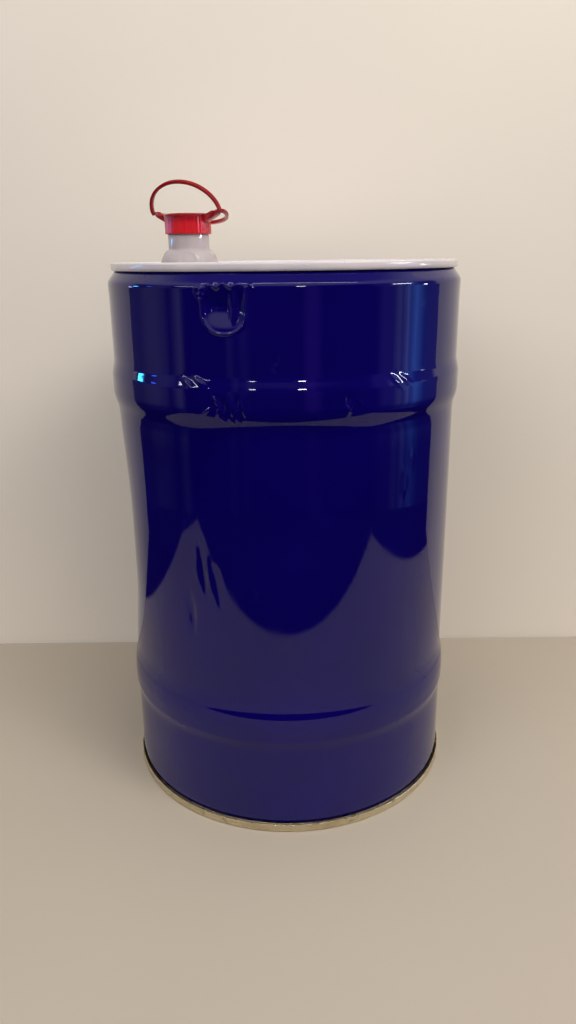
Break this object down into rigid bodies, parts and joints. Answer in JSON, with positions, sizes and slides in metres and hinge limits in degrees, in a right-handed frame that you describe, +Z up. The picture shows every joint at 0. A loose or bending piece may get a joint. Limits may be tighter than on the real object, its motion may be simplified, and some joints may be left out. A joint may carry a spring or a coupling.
{
  "type": "steel drum with pull-out spout",
  "caption": "Closed-head lacquered steel drum with rolled hoops, double-seamed ends and a pull-out plastic pouring spout with a screw cap and folding bails.",
  "frame": {"origin": "centre of the drum's base, on the floor it stands on", "axes": "+Z up along the drum's axis, -Y towards the front where the spout sits, +X to the right seen from the front"},
  "size_m": [0.2894, 0.2894, 0.5028],
  "materials": {
    "blue_lacquer": "gloss",
    "white_lacquer": "gloss",
    "tinplate": "satin",
    "seam_compound": "matte",
    "milky_polyethylene": "satin",
    "red_plastic": "gloss",
    "liner_foam": "matte"
  },
  "bodies": {
    "drum": {"body_shell": "blue_lacquer", "top_end": "white_lacquer", "bottom_end": "tinplate", "top_seam_compound": "seam_compound", "bottom_seam_compound": "seam_compound", "spout_crimp_ring": "white_lacquer", "spout_flange": "milky_polyethylene", "spout_bellows": "milky_polyethylene"},
    "nozzle": {"spout_nozzle": "milky_polyethylene", "tear_out_seal": "milky_polyethylene"},
    "liner": {"cap_liner": "liner_foam"},
    "screw_cap": {"cap": "red_plastic"},
    "front_bail": {"bail_front": "red_plastic"},
    "back_bail": {"bail_back": "red_plastic"}
  },
  "joints": [
    {"name": "spout_pull", "type": "slide", "parent": "drum", "child": "nozzle", "axis": [0, 0, 1], "range_m": [-0.038, 0], "deforming": ["spout_bellows"]},
    {"name": "cap_lift", "type": "slide", "parent": "nozzle", "child": "liner", "axis": [0, 0, 1], "range_m": [0, 0.0093]},
    {"name": "cap_turn", "type": "hinge", "parent": "liner", "child": "screw_cap", "pos_m": [-0.07004, -0.06418, 0.472], "axis": [0, 0, 1], "range_deg": [0, 740]},
    {"name": "front_bail_fold", "type": "hinge", "parent": "screw_cap", "child": "front_bail", "pos_m": [-0.07104, -0.06591, 0.482], "axis": [0.866, -0.5, 0], "range_deg": [-28, 74]},
    {"name": "back_bail_fold", "type": "hinge", "parent": "screw_cap", "child": "back_bail", "pos_m": [-0.06904, -0.06245, 0.482], "axis": [0.866, -0.5, 0], "range_deg": [0, 107]}
  ],
  "couplings": [
    {"joint": "cap_lift", "follows": "cap_turn", "m_per_rad": 0.0007162}
  ]
}
